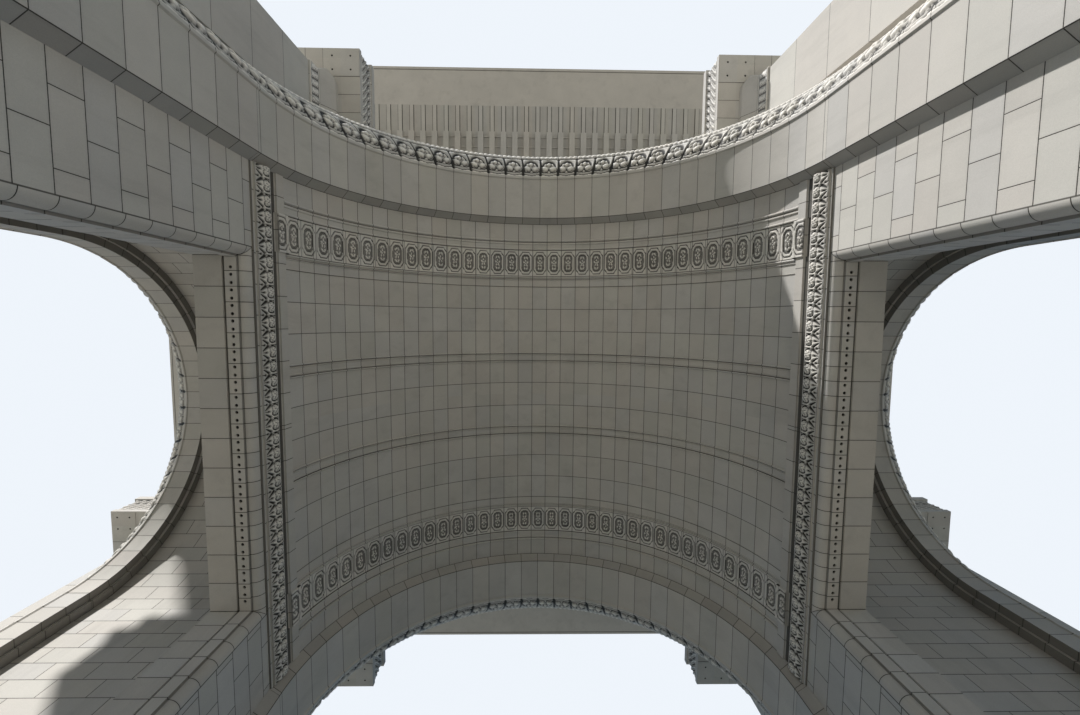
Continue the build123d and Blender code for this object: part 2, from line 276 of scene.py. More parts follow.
def wall_blocks(width, height, level, shift=0.5, start=0.0):
    """Running bond on upright faces, and in plan on level and sloping ones, its rows along X."""

    def layout(net, x, y, z, normal):
        nx, _, nz = normal
        facing_x = net.above(net.size_of(nx), 0.7)
        level_face = net.above(net.size_of(nz), 0.7)
        u = net.choose(level_face, x, net.choose(facing_x, y, x))
        v = net.choose(level_face, y, net.minus(z, level))
        rise = net.ratio(v, height)
        row = net.math("FLOOR", rise)
        offset = net.both(row, shift)
        along = net.math("ADD", net.ratio(net.minus(u, start), width), offset)
        edge = net.math("MINIMUM", net.edge_of(along, width), net.edge_of(rise, height))
        side = net.math("ADD", facing_x, net.both(level_face, 2.0))
        return edge, net.cell(net.math("FLOOR", along), row, side), 0.0

    return layout


cap_courses = wall_blocks(cap_block, cap_course, cap_level, 0.0)
body_courses = wall_blocks(body_block, body_course, body_level)


def doorway_blocks(net, x, y, z, normal):
    """Running bond, with the strips and the roll round the doorway in their own short blocks."""
    wall_edge, wall_cell, _ = wall_blocks(block, course, wall_level, 0.5, wall_start)(net, x, y, z, normal)
    depth, reach = net.size_of(x), net.size_of(y)
    over_jamb = net.minus(reach, door_half)
    over_head = net.minus(z, door_top)
    near_side = net.below(over_jamb, door_roll - 0.001)
    near_top = net.below(over_head, door_roll - 0.001)
    framing = net.both(near_side, near_top)
    head = net.above(over_head, over_jamb)
    wide = net.above(depth, strip_split)
    head_pitch = net.choose(wide, 4 * dot_pitch, 2 * dot_pitch)
    head_along = net.ratio(y, head_pitch)
    jamb_along = net.ratio(over_head, course)
    along = net.choose(head, head_along, jamb_along)
    edge = net.edge_of(along, net.choose(head, head_pitch, course))
    mitre = net.size_of(net.minus(over_head, over_jamb))
    edge = net.math("MINIMUM", edge, mitre)
    strip = net.nearest_line(depth, (strip_split + strip_gap, vault_radius + door_roll + strip_gap / 2))
    # Painted shade in the gaps beside the strips on the head, and along the edge of the roll
    wide_gap = net.span(strip[0], 0.018, 0.022, 0.9, 0.0)
    thin_gap = net.span(strip[0], 0.006, 0.012, 0.6, 0.0)
    gap = net.choose(wide, wide_gap, thin_gap)
    cell = net.cell(net.math("FLOOR", along), strip[1], net.math("ADD", head, 7.0))
    past_roll = net.minus(net.math("MAXIMUM", over_jamb, over_head), door_roll)
    outline = net.span(net.size_of(past_roll), 0.006, 0.011, 0.85, 0.0)
    outline = net.both(outline, net.below(depth, vault_radius + 0.02))
    painted_shade = net.math("MAXIMUM", net.both(framing, gap), outline)
    return net.choose(framing, edge, wall_edge), net.choose_cell(framing, cell, wall_cell), painted_shade


def pier_blocks(net, x, y, z, normal):
    """Tall courses on the pier, the small running bond on the passage walls."""
    small = wall_blocks(block, course, side_spring)(net, x, y, z, normal)
    tall = wall_blocks(undivided, pier_course, pier_top)(net, x, y, z, normal)
    beside = net.below(net.size_of(x), passage_wall_end)
    in_passage = net.both(beside, net.below(net.size_of(y), vault_half + 0.01))
    return net.choose(in_passage, small[0], tall[0]), net.choose_cell(in_passage, small[1], tall[1]), 0.0


def cap_blocks(net, x, y, z, normal):
    """Slabs across the soffit of the cap with a square one at each corner, long blocks elsewhere."""
    upright = cap_courses(net, x, y, z, normal)
    across, deep = net.size_of(x), net.size_of(y)
    level_face = net.above(net.size_of(normal[2]), 0.7)
    pair = []
    for value, low, high, first in (
        (across, corner_slab[0] - 0.01, slab_files_end, corner_slab[0]),
        (deep, slab_files_start, corner_slab[1] + 0.01, corner_slab[1]),
    ):
        turns = net.ratio(net.minus(value, first), slab_pitch)
        inside = net.both(net.above(value, low), net.below(value, high))
        pair.append((net.choose(inside, net.edge_of(turns, slab_pitch), 1.0), net.math("FLOOR", turns)))
    edge = net.math("MINIMUM", pair[0][0], pair[1][0])
    cell = net.cell(pair[0][1], pair[1][1], 5.0)
    return net.choose(level_face, edge, upright[0]), net.choose_cell(level_face, cell, upright[1]), 0.0


def eave_blocks(net, x, y, z, normal):
    """Blocks along the edge and on top, a plain underside with painted shade along a drip groove near its
    rim.
    """
    edge, cell, _ = wall_blocks(eave_block, eave_course, eave_bottom)(net, x, y, z, normal)
    under = net.below(normal[2], -0.7)
    across = net.size_of(net.minus(net.size_of(x), eave_x - eave_groove))
    deep = net.size_of(net.minus(net.size_of(y), eave_y - eave_groove))
    groove_shade = net.span(net.math("MINIMUM", across, deep), 0.012, 0.03, 0.8, 0.0)
    low = net.below(z, eave_bottom + 0.05)
    painted_shade = net.both(net.both(under, low), groove_shade)
    return net.choose(under, 1.0, edge), net.choose_cell(under, (3.0, 1.0, 4.0), cell), painted_shade


def rafter_blocks(net, x, y, z, normal):
    """Ribs cut from one block each, over a bed with painted shade beside the ribs."""
    past_x = net.minus(net.size_of(x), body_half_x)
    past_y = net.minus(net.size_of(y), body_half_y)
    turns = net.ratio(net.choose(net.above(past_x, past_y), y, x), rafter_pitch)
    from_rib = net.edge_of(turns, rafter_pitch)
    beside = net.span(net.size_of(net.minus(from_rib, rafter_half)), 0.018, 0.03, 0.88, 0.12)
    bed_shade = net.both(net.span(z, rafter_bed - 0.02, rafter_bed - 0.005), beside)
    return 1.0, net.cell(net.math("ROUND", turns), 1.0, 1.0), bed_shade


def impost_blocks(net, x, y, z, normal):
    """Blocks two flowers long, with painted shadow in the gap along the wall below."""
    edge, cell, _ = wall_blocks(impost_pitch * 2, impost_course, impost_level, 0.0)(net, x, y, z, normal)
    # Painted shadow along the foot of the band, where it meets the wall
    return edge, cell, net.span(z, spring + 0.004, spring + 0.008, 0.7, 0.0)


def arch_angle(net, across, z, spring_level):
    """Degrees round an arch from its right springing, and the rise above that."""
    rise = net.minus(z, spring_level)
    return net.math("DEGREES", net.math("ARCTAN2", rise, across)), rise


def voussoirs(spring_level, radius, across_is_x, joint_lines, pitch_degrees, inward_shade_end, inward_shade):
    """Wedge blocks round an arch, and level ones down its legs, with painted shade on the faces that look
    inwards, on the side rings partly also dirt.
    """
    leg_pitch = radians(pitch_degrees) * radius

    def layout(net, x, y, z, normal):
        across, depth = (x, y) if across_is_x else (y, x)
        angle, rise = arch_angle(net, across, z, spring_level)
        in_arch = net.above(rise, 0.0)
        turns = net.ratio(net.minus(angle, joint_start_degrees), pitch_degrees)
        along = net.choose(in_arch, turns, net.ratio(rise, leg_pitch))
        distance, passed = net.nearest_line(net.size_of(depth), joint_lines)
        edge = net.math("MINIMUM", net.edge_of(along, leg_pitch), distance)
        side = net.above(across, 0.0)
        row = net.math("ADD", passed, net.both(side, other_side))
        facing = net.above(net.size_of(normal[1 if across_is_x else 0]), 0.6)
        inward = net.below(net.size_of(depth), inward_shade_end)
        painted_shade = net.both(net.both(facing, inward), inward_shade)
        return edge, net.cell(net.math("FLOOR", along), row, in_arch), painted_shade

    return layout


def barrel_blocks(net, x, y, z, normal):
    """Running bond round a side passage."""
    angle, _ = arch_angle(net, y, z, side_spring)
    height = radians(passage_row_degrees) * passage_radius
    rise = net.math("ADD", net.ratio(net.minus(angle, 90.0), passage_row_degrees), 0.5)
    row = net.math("FLOOR", rise)
    along = net.math("ADD", net.ratio(x, block), net.both(row, 0.5))
    edge = net.math("MINIMUM", net.edge_of(along, block), net.edge_of(rise, height))
    return edge, net.cell(net.math("FLOOR", along), row, 8.0), 0.0


def vault_tiles(net, x, y, z, normal):
    """Tiles in straight files round the main vault, with a border file at each foot."""
    angle, _ = arch_angle(net, x, z, spring)
    from_crown = net.minus(angle, 90.0)
    along = net.math("ADD", net.ratio(from_crown, tile_degrees), 0.5)
    width = radians(tile_degrees) * vault_radius
    distance, passed = net.nearest_line(net.size_of(y), vault_lines)
    row = net.math("ADD", passed, net.both(net.above(y, 0.0), other_side))
    off_crown = net.size_of(from_crown)
    in_border = net.above(off_crown, 90.0 - haunch_degrees)
    long_run = net.ratio(net.minus(net.size_of(y), strip_start), strip_block)
    distance = net.choose(in_border, net.edge_of(long_run, strip_block), distance)
    row = net.choose(in_border, net.math("FLOOR", long_run), row)
    # Painted shade, partly dirt, on the vault between the impost and the strip at each foot
    painted_shade = net.span(off_crown, 90.2 - strip_degrees, 90.4 - strip_degrees, 0.0, 0.9)
    edge = net.math("MINIMUM", net.choose(in_border, 1.0, net.edge_of(along, width)), distance)
    return edge, net.cell(net.math("FLOOR", along), row, 3.0), painted_shade


# Half the width of a joint, and the colours of stone, joints, soot streaks with painted shade, and painted
# shade in cuts
joint_half = 0.0035
stone_colour = (0.535, 0.512, 0.473, 1.0)
joint_colour = (0.055, 0.05, 0.042, 1.0)
soot_and_shade_colour = (0.05, 0.045, 0.037, 1.0)
cut_colour = (0.02, 0.018, 0.015, 1.0)
tint_steps = (
    (0.0, (0.99, 0.995, 1.01, 1.0)),
    (0.3, (1.008, 1.0, 0.99, 1.0)),
    (0.6, (0.995, 1.0, 0.99, 1.0)),
    (0.8, (1.012, 0.995, 0.985, 1.0)),
)


def granite(name, layout, contrast=0.05, carved=False, streaks=0.16):
    """Dressed granite with block joints, block tints, grain, streaks and painted shade that is in places
    partly dirt, and on carving a painted highlight and painted shade in the cuts.
    """
    material = bpy.data.materials.new(name)
    net = Net(material)
    place = net.add("TexCoord").outputs["Object"]
    x, y, z = net.add("SeparateXYZ", {0: place}).outputs
    normal = net.add("SeparateXYZ", {0: net.add("NewGeometry").outputs["True Normal"]}).outputs
    edge, cell, painted_shade = layout(net, x, y, z, normal)
    dice = net.add("TexWhiteNoise", {"Vector": cell}, noise_dimensions="3D")

    # Blocks differ a little in lightness and in tint
    tint = net.add("ValToRGB", {"Fac": dice.outputs["Value"]})
    ramp = tint.color_ramp
    ramp.interpolation = "CONSTANT"
    while len(ramp.elements) < len(tint_steps):
        ramp.elements.new(1.0)
    for element, (step, colour) in zip(ramp.elements, tint_steps):
        element.position = step
        element.color = colour
    colour = net.blend(1.0, stone_colour, tint.outputs["Color"], "MULTIPLY")
    second = net.add("SeparateXYZ", {0: dice.outputs["Color"]}).outputs[1]
    lightness = net.span(second, 0.0, 1.0, 1.0 - contrast, 1.0 + contrast * 0.6)

    # Cloudy mottling, fine grain and dark mica flecks
    cloud = net.noise(place, 1.3, 5.0, 0.6)
    grain = net.noise(place, 110.0, 2.0, 0.7)
    fleck = net.span(net.noise(place, 300.0, 1.0, 0.5), 0.66, 0.74, 1.0, 0.75)
    lightness = net.both(lightness, net.span(cloud, 0.3, 0.7, 0.94, 1.05))
    lightness = net.both(lightness, net.span(grain, 0.25, 0.75, 0.93, 1.06))
    colour = net.dim(colour, net.both(lightness, fleck))

    # Rain and soot streaks that run down the stone
    stretched = net.add("Mapping", {"Vector": place, "Scale": (2.6, 2.6, 0.35)}).outputs[0]
    streak = net.span(net.noise(stretched, 1.0, 6.0, 0.65), 0.52, 0.8, 0.0, streaks)
    colour = net.blend(streak, colour, soot_and_shade_colour)

    # Joints between blocks, a little uneven, with worn edges beside them
    wobble = net.both(net.minus(grain, 0.5), 0.003)
    gap = net.math("ADD", edge, wobble)
    filled = net.span(gap, joint_half, joint_half + 0.003)
    worn = net.span(edge, joint_half, joint_half + 0.03, 0.95, 1.0)
    colour = net.dim(net.blend(filled, joint_colour, colour), worn)
    height = net.math("ADD", filled, net.both(grain, 0.18))
    if carved:
        # Painted highlight on the carved ridges and painted shade, partly dirt, in the cuts, from each
        # point's relief tone
        cut = net.add("Attribute", attribute_name="relief").outputs["Fac"]
        patch = net.both(net.minus(cloud, 0.5), 0.2)
        colour = net.dim(colour, net.span(cut, 0.86, 1.0, 1.0, 1.6))
        colour = net.blend(net.span(net.math("ADD", cut, patch), 0.0, 0.75, 0.98, 0.0), colour, cut_colour)
    # Painted shade from the layout, in gaps, grooves, beds and inward faces, partly also dirt
    colour = net.blend(painted_shade, colour, soot_and_shade_colour)
    bump = net.add("Bump", {"Height": height, "Strength": 0.5, "Distance": 0.004})
    rough = net.span(cloud, 0.3, 0.7, 0.74, 0.88)
    shader = net.add(
        "BsdfPrincipled",
        {"Base Color": colour, "Roughness": rough, "Normal": bump.outputs[0], "Specular IOR Level": 0.3},
    )
    net.add("OutputMaterial", {0: shader.outputs[0]})
    return material


ring_layout = voussoirs(
    spring, ring_joint_radius, True, (ring_chamfer_end,), voussoir_degrees, ring_chamfer_end, inward_shade=0.25
)
side_layout = voussoirs(
    side_spring, side_joint_radius, False, (), side_voussoir_degrees, side_step_end, inward_shade=0.6
)
carving = {"carved": True, "streaks": 0.1}

stone_kinds = (
    ("ring", ring_layout, {"contrast": 0.07}),
    ("side_ring", side_layout, {}),
    ("vault", vault_tiles, {}),
    ("passage", barrel_blocks, {}),
    ("wall", doorway_blocks, {}),
    ("pier", pier_blocks, {}),
    ("bay", body_courses, {}),
    ("cap", cap_blocks, {}),
    ("body", body_courses, {}),
    ("eave", eave_blocks, {}),
    ("rafters", rafter_blocks, {"contrast": 0.03, "streaks": 0.1}),
    ("tier", wall_blocks(tier_block, tier_course, tier_level), {}),
    ("impost", impost_blocks, {}),
    ("carved_ring", ring_layout, carving),
    ("carved_side", side_layout, carving),
    ("carved_impost", impost_blocks, carving),
    ("carved_flower", vault_tiles, carving),
    ("carved_cap", cap_courses, carving),
    ("drilled_wall", doorway_blocks, {"carved": True}),
    ("drilled_cap", cap_blocks, {"carved": True}),
)
stone = {kind: granite(f"granite_{kind}", layout, **looks) for kind, layout, looks in stone_kinds}

# Stone of each node by the ending of its name, with longer endings before shorter ones
node_stone = {
    "front_arch_ring": "ring", "back_arch_ring": "ring", "arch_ring": "side_ring", "main_vault": "vault",
    "passage_vault": "passage", "inner_wall": "wall", "impost_band": "impost", "bay_wall": "bay",
    "pier_cap": "cap", "pier": "pier", "upper_body": "body", "rafters": "rafters", "tier_wall": "tier",
    "eave": "eave",
}


def dress_nodes():
    """Gives each solid the granite that its name asks for."""
    for name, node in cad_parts.items():
        kind = next(kind for ending, kind in node_stone.items() if name.endswith(ending))
        for index in range(len(node.data.materials)):
            node.data.materials[index] = stone[kind]


# Tone of a plain face beside carving; the cuts get painted shade, partly dirt, and the ridges a painted
# highlight
plain_tone = 0.86


class Piece:
    """Mesh that grows part by part, with a relief value on every point for the painted shade in its cuts and
    the painted highlight on its ridges.
    """

    def __init__(self):
        self.points = []
        self.faces = []
        self.relief = []
        self.smooth = []
        self.count = 0

    def add(self, points, faces, relief=plain_tone, smooth=0):
        """Adds closed faces; the first few may be smooth."""
        points = np.asarray(points, dtype=float).reshape(-1, 3)
        self.points.append(points)
        self.relief.append(np.broadcast_to(relief, (len(points),)))
        for index, face in enumerate(faces):
            self.faces.append([int(corner) + self.count for corner in face])
            self.smooth.append(index < smooth)
        self.count += len(points)

    def box(self, low, high):
        corners = [(x, y, z) for x in (low[0], high[0]) for y in (low[1], high[1]) for z in (low[2], high[2])]
        sides = ((0, 1, 3, 2), (4, 6, 7, 5), (0, 4, 5, 1), (2, 3, 7, 6), (0, 2, 6, 4), (1, 5, 7, 3))
        self.add(corners, sides)

    def make(self, name, material):
        """The piece as an object that rides on the part."""
        mesh = bpy.data.meshes.new(name)
        mesh.from_pydata(np.concatenate(self.points).tolist(), [], self.faces)
        mesh.materials.append(material)
        mesh.attributes.new("relief", "FLOAT", "POINT").data.foreach_set("value", np.concatenate(self.relief))
        mesh.polygons.foreach_set("use_smooth", self.smooth)
        shell = bmesh.new()
        shell.from_mesh(mesh)
        bmesh.ops.recalc_face_normals(shell, faces=shell.faces)
        shell.to_mesh(mesh)
        shell.free()
        piece = bpy.data.objects.new(name, mesh)
        scene.collection.objects.link(piece)
        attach(piece, "root")
        return piece


def add_relief(piece, place, run, across, pattern, root):
    """Closed band with a carved front and a plain back inside the stone."""
    s, t = np.meshgrid(run, across, indexing="ij")
    lift, tone = pattern(s, t)
    front = place(s, t, lift).reshape(-1, 3)
    ends = np.array([0, -1])
    back = place(s[:, ends], t[:, ends], np.full((len(run), 2), -root)).reshape(-1, 3)
    rows, columns = s.shape
    grid = np.arange(rows * columns).reshape(rows, columns)
    rear = rows * columns + np.arange(rows * 2).reshape(rows, 2)

    def quads(a, b, c, d):
        return np.stack([a, b, c, d], axis=-1).reshape(-1, 4)

    faces = np.concatenate(
        [
            quads(grid[:-1, :-1], grid[1:, :-1], grid[1:, 1:], grid[:-1, 1:]),
            quads(rear[:-1, 0], rear[1:, 0], grid[1:, 0], grid[:-1, 0]),
            quads(grid[:-1, -1], grid[1:, -1], rear[1:, 1], rear[:-1, 1]),
            quads(rear[:-1, 1], rear[1:, 1], rear[1:, 0], rear[:-1, 0]),
        ]
    ).tolist()
    faces.append([rear[0, 0], *grid[0, :], rear[0, 1]])
    faces.append([rear[-1, 1], *grid[-1, ::-1], rear[-1, 0]])
    relief = np.concatenate([np.ravel(tone), np.full(rows * 2, plain_tone)])
    piece.add(np.concatenate([front, back]), faces, relief, (rows - 1) * (columns - 1))


def flat_place(origin, along, up, out):
    """Points on a plane, s in metres along it, t in metres up it and lift out of it."""
    origin, along, up, out = (np.array(v, dtype=float) for v in (origin, along, up, out))

    def place(s, t, lift):
        return origin + s[..., None] * along + t[..., None] * up + lift[..., None] * out

    return place


def add_drilled(piece, origin, along, up, out, size, hole, thickness):
    """Plate from its corner, with one round hole whose floor is painted dark as shade."""
    place = flat_place(origin, along, up, out)
    root, sides = 0.01, 16
    centre, radius, depth = hole[:2], hole[2], 0.001
    turns = (np.arange(sides) + 0.5) * 2 * pi / sides
    cosine, sine = np.cos(turns), np.sin(turns)
    reach_x = np.where(cosine > 0, size[0] - centre[0], centre[0]) / np.abs(cosine)
    reach_y = np.where(sine > 0, size[1] - centre[1], centre[1]) / np.abs(sine)
    reach = np.minimum(reach_x, reach_y)
    rim_s, rim_t = centre[0] + reach * cosine, centre[1] + reach * sine
    corners = ((0, 0), (size[0], 0), (size[0], size[1]), (0, size[1]))
    for corner_s, corner_t in corners:
        nearest = np.argmin((rim_s - corner_s) ** 2 + (rim_t - corner_t) ** 2)
        rim_s[nearest], rim_t[nearest] = corner_s, corner_t
    # The hole's floor gets painted shade, tone 0
    loops = (
        (centre[0] + radius * 0.9 * cosine, centre[1] + radius * 0.9 * sine, depth, 0.0),
        (centre[0] + radius * cosine, centre[1] + radius * sine, thickness, plain_tone),
        (rim_s, rim_t, thickness, plain_tone),
        (rim_s, rim_t, -root, plain_tone),
    )
    points = np.concatenate([place(s, t, np.full(sides, lift)) for s, t, lift, _ in loops])
    relief = np.repeat([tone for *_, tone in loops], sides)
    faces = []
    for loop in range(3):
        for index in range(sides):
            following = (index + 1) % sides
            first, second = loop * sides, (loop + 1) * sides
            faces.append((first + index, second + index, second + following, first + following))
    faces.append(tuple(range(sides)))
    faces.append(tuple(range(4 * sides - 1, 3 * sides - 1, -1)))
    piece.add(points, faces, relief)


def dome(x, y, centre_x, centre_y, radius_x, radius_y, turn=0.0):
    """Rounded lobe, 1 at its centre and 0 outside its oval."""
    dx, dy = x - centre_x, y - centre_y
    c, s = cos(radians(turn)), sin(radians(turn))
    far = ((c * dx + s * dy) / radius_x) ** 2 + ((c * dy - s * dx) / radius_y) ** 2
    return np.sqrt(np.clip(1.0 - far, 0.0, None))


def groove(distance, width):
    """Cut with steep sides, 1 near its line and 0 beyond its width."""
    return np.clip(1.7 * (1.0 - (distance / width) ** 2), 0.0, 1.0)


def lobes(u, v, base, ovals, rim, ground):
    """Height and tone of raised lobes over a base, with a cut round each; the tone is a painted highlight on
    their tops and painted shade in the cuts.
    """
    shape = np.full_like(u, base)
    cut = np.zeros_like(u)
    over = np.zeros_like(u, dtype=bool)
    for centre_x, centre_y, radius_x, radius_y, turn, rise in ovals:
        lobe = dome(u, v, centre_x, centre_y, radius_x, radius_y, turn)
        wider = dome(u, v, centre_x, centre_y, radius_x + rim, radius_y + rim, turn)
        cut = np.where(lobe > 0, 0.0, np.maximum(cut, np.clip(wider * 1.8, 0, 1)))
        over |= lobe > 0
        shape = np.maximum(shape, base + (rise - base) * lobe)
    tone = np.where(over, 0.86 + 0.14 * np.clip(2 * shape - 1, 0, 1), ground)
    return shape - 0.35 * cut, tone * (1.0 - cut)


def hooded_flower(u, v):
    """One unit of the ring edge: a leaf hood over a bud and paired leaves, feet and a bead row."""
    shape, tone = lobes(
        u, v, 0.4,
        (
            (0.5, 0.27, 0.11, 0.075, 0, 0.8), (0.29, 0.41, 0.195, 0.105, -14, 1.0),
            (0.71, 0.41, 0.195, 0.105, 14, 1.0), (0.29, 0.6, 0.12, 0.055, 28, 0.85),
            (0.71, 0.6, 0.12, 0.055, -28, 0.85), (0.5, 0.63, 0.105, 0.085, 0, 1.0),
        ),
        0.035,
        0.86,
    )
    hood = np.hypot((u - 0.5) / 0.35, (v - 0.53) / 0.26)
    arc = groove(hood - 1.0, 0.23) * (v > 0.55)
    smiles = [groove(np.hypot((u - side) / 0.25, (v - 0.45) / 0.22) - 1.0, 0.2) for side in (0.27, 0.73)]
    smile = np.maximum(*smiles) * (v < 0.42) * (v > 0.16)
    sway = u + 0.05 * np.sin(pi * v)
    off_joint = 0.5 - np.abs(sway % 1.0 - 0.5)
    split = groove(off_joint, 0.06 + 0.06 * np.exp(-(((v - 0.3) / 0.2) ** 2))) * (v > 0.03) * (v < 0.88)
    foot = groove(v - 0.1 - 0.03 * np.cos(2 * pi * u), 0.04)
    line = groove(v - 0.895, 0.03)
    cut = np.maximum.reduce([arc, smile, split, foot, line])
    plain = (v < 0.06) | ((v > 0.81) & (v < 0.92)) | (off_joint < 0.11) & (v > 0.1) & (v < 0.9)
    shape = np.where(plain, 0.55, shape) - 0.5 * cut
    tone = np.where(plain, 0.96, tone) * (1.0 - cut)
    beads = dome((4 * u) % 1.0, v, 0.5, 0.96, 0.55, 0.055)
    shape = np.where(v > 0.916, 0.2 + 0.8 * beads, shape)
    tone = np.where(v > 0.916, np.clip(0.2 + 1.6 * beads, 0, 1), tone)
    return shape, tone


def stroke(u, v, start, end, width):
    """Straight cut with round ends that widens from start to end, in each repeat of the pattern."""
    along = np.subtract(end, start)
    cut = np.zeros_like(u)
    for turn in (-1, 0, 1):
        du, dv = u + turn - start[0], v - start[1]
        share = np.clip((du * along[0] + dv * along[1]) / (along @ along), 0.0, 1.0)
        distance = np.hypot(du - share * along[0], dv - share * along[1])
        cut = np.maximum(cut, groove(distance / (0.45 + 0.55 * share), width))
    return cut


def rosette_and_fan(u, v):
    """One unit of the impost: a rosette above leaves that lean towards it."""
    petals = [
        (0.45 + 0.17 * cos(radians(turn)), 0.77 + 0.12 * sin(radians(turn)), 0.11, 0.075, turn, 0.95)
        for turn in range(15, 375, 60)
    ]
    shape, tone = lobes(u, v, 0.5, (*petals, (0.45, 0.77, 0.09, 0.065, 0, 1.0)), 0.022, 0.95)
    strokes = [
        stroke(u, v, (0.5, 0.12), (0.5, 0.38), 0.075),
        stroke(u, v, (0.36, 0.15), (0.1, 0.46), 0.13),
        stroke(u, v, (0.64, 0.15), (0.88, 0.45), 0.1),
        stroke(u, v, (0.0, 0.1), (0.0, 0.24), 0.08),
    ]
    collar = groove(np.hypot((u - 0.45) / 0.38, (v - 0.77) / 0.26) - 1.0, 0.15) * (v > 0.53)
    off_joint = 0.5 - np.abs(u - 0.5)
    split = groove(off_joint, 0.045) * (v > 0.62)
    cut = np.maximum.reduce([collar, *strokes, split, groove(v - 0.05, 0.02) * 0.7, (v > 0.955) * 1.0])
    shape = shape - 0.6 * cut
    tone = np.where(v < 0.3, 0.8, tone) * (1.0 - cut)
    return shape, tone


def medallion(u, v):
    """Flower and leaves in a long eight-sided double frame."""
    x, y = np.abs(u - 0.5) / 0.5, np.abs(v - 0.5) / 0.5
    outer = np.maximum.reduce([x / 0.88, y / 0.84, (x + 1.3 * y) / 1.52])
    inner = ((x / 0.6) ** 3 + (y / 0.63) ** 3) ** (1 / 3)
    petals = [
        (0.5 + 0.125 * cos(radians(turn)), 0.5 + 0.085 * sin(radians(turn)), 0.07, 0.045, turn, 1.0)
        for turn in range(18, 378, 72)
    ]
    leaves = [
        (0.5 + side * 0.08, 0.5 + end * 0.2, 0.09, 0.045, -35 * side * end, 0.95)
        for side in (-1, 1)
        for end in (-1, 1)
    ]
    shape, tone = lobes(u, v, 0.2, (*leaves, *petals, (0.5, 0.5, 0.05, 0.034, 0, 1.0)), 0.016, 0.3)
    outside = inner > 1.0
    shape = np.where(outside, 0.62, shape)
    tone = np.where(outside, 0.92, tone)
    line = np.maximum(groove(outer - 1.0, 0.045), groove(inner - 1.0, 0.055))
    cut = np.maximum(line, groove(0.5 - np.abs(u - 0.5), 0.02) * 0.6)
    return shape - 0.6 * cut, tone * (1.0 - cut)


def slanted_leaves(u, v):
    """Row of leaning leaves, each with a middle rib, between two rails."""
    lean = (u - 0.5 * v) % 1.0
    off_rib = np.abs(lean - 0.5)
    rib = groove(off_rib, 0.09)
    gap = groove(0.5 - off_rib, 0.14)
    tooth = groove(np.abs((6 * (v + 0.4 * off_rib)) % 1.0 - 0.5) - 0.5, 0.16) * (rib <= 0) * (off_rib > 0.16)
    rail = np.maximum(groove(v - 0.96, 0.045), groove(v - 0.04, 0.045))
    line = np.maximum(groove(v - 0.9, 0.03), groove(v - 0.1, 0.03))
    cut = np.maximum.reduce([gap, 0.7 * tooth, line]) * (rail <= 0)
    shape = np.where(rail > 0, 0.9, 0.35 + 0.5 * np.cos(pi * off_rib) + 0.15 * rib) - 0.5 * cut
    return shape, 0.97 - 0.8 * cut


def curled_leaf(u, v):
    """One unit of the cap band: three long leaning leaves with ribs and curled tips, between rails."""
    lean = (3 * u - 2.6 * v + 0.18 * np.sin(2 * pi * v)) % 1.0
    off_rib = np.abs(lean - 0.5)
    gap = groove(0.5 - off_rib, 0.15)
    rib = groove(off_rib - 0.2, 0.07)
    curl = groove(np.hypot((lean - 0.5) / 0.36, (v - 0.72) / 0.14) - 1.0, 0.2)
    rail = np.maximum(groove(v - 0.97, 0.03), groove(v - 0.03, 0.03))
    cut = np.maximum.reduce([gap, 0.7 * rib, 0.7 * curl]) * (rail <= 0)
    shape = np.where(rail > 0, 0.9, 0.45 + 0.5 * np.cos(pi * off_rib)) - 0.5 * cut
    return shape, 0.97 - 0.9 * cut


def repeat(unit, pitch, start, depth, low=0.0, high=1.0):
    """Pattern over a whole band from one unit, its tone the unit's painted shade and highlight; the band's
    cross run goes from low to high.
    """
    base = 0.003

    def pattern(s, t):
        shape, tone = unit(((s - start) / pitch) % 1.0, (t - low) / (high - low))
        return base + depth * np.clip(shape, 0, 1), np.clip(tone, 0, 1)

    return pattern


def splay_place(spring_level, inner, outer, across_is_x, bulge, sign):
    """Rounded outer edge of one arch ring, s metres from its right springing, t from its inner side."""
    slope = np.subtract(outer, inner)
    normal = np.array([-slope[1], slope[0]]) / np.hypot(*slope)
    middle = (inner[0] + outer[0]) / 2

    def place(s, t, lift):
        lift = lift + bulge * np.sin(pi * t) ** 0.75
        radius = inner[0] + t * slope[0] + lift * normal[0]
        depth = sign * (inner[1] + t * slope[1] + lift * normal[1])
        angle = np.clip(s / middle, 0.0, pi)
        across = radius * np.cos(angle)
        drop = np.clip(-s, 0.0, None) + np.clip(s - pi * middle, 0.0, None)
        up = spring_level + radius * np.sin(angle) - drop
        return np.stack([across, depth, up] if across_is_x else [depth, across, up], axis=-1)

    return place


def over_roll(unit):
    """Unit spread over a rounded band past a plain border, its rows evenly spaced when seen from below."""

    def spread(u, t):
        v = (t + ring_swell * np.sin(pi * t) - ring_border) / (1.0 - ring_border)
        shape, tone = unit(u, np.clip(v, 0.0, 1.0))
        return np.where(v < 0, 0.3, shape), np.where(v < 0, 0.76, tone)

    return spread


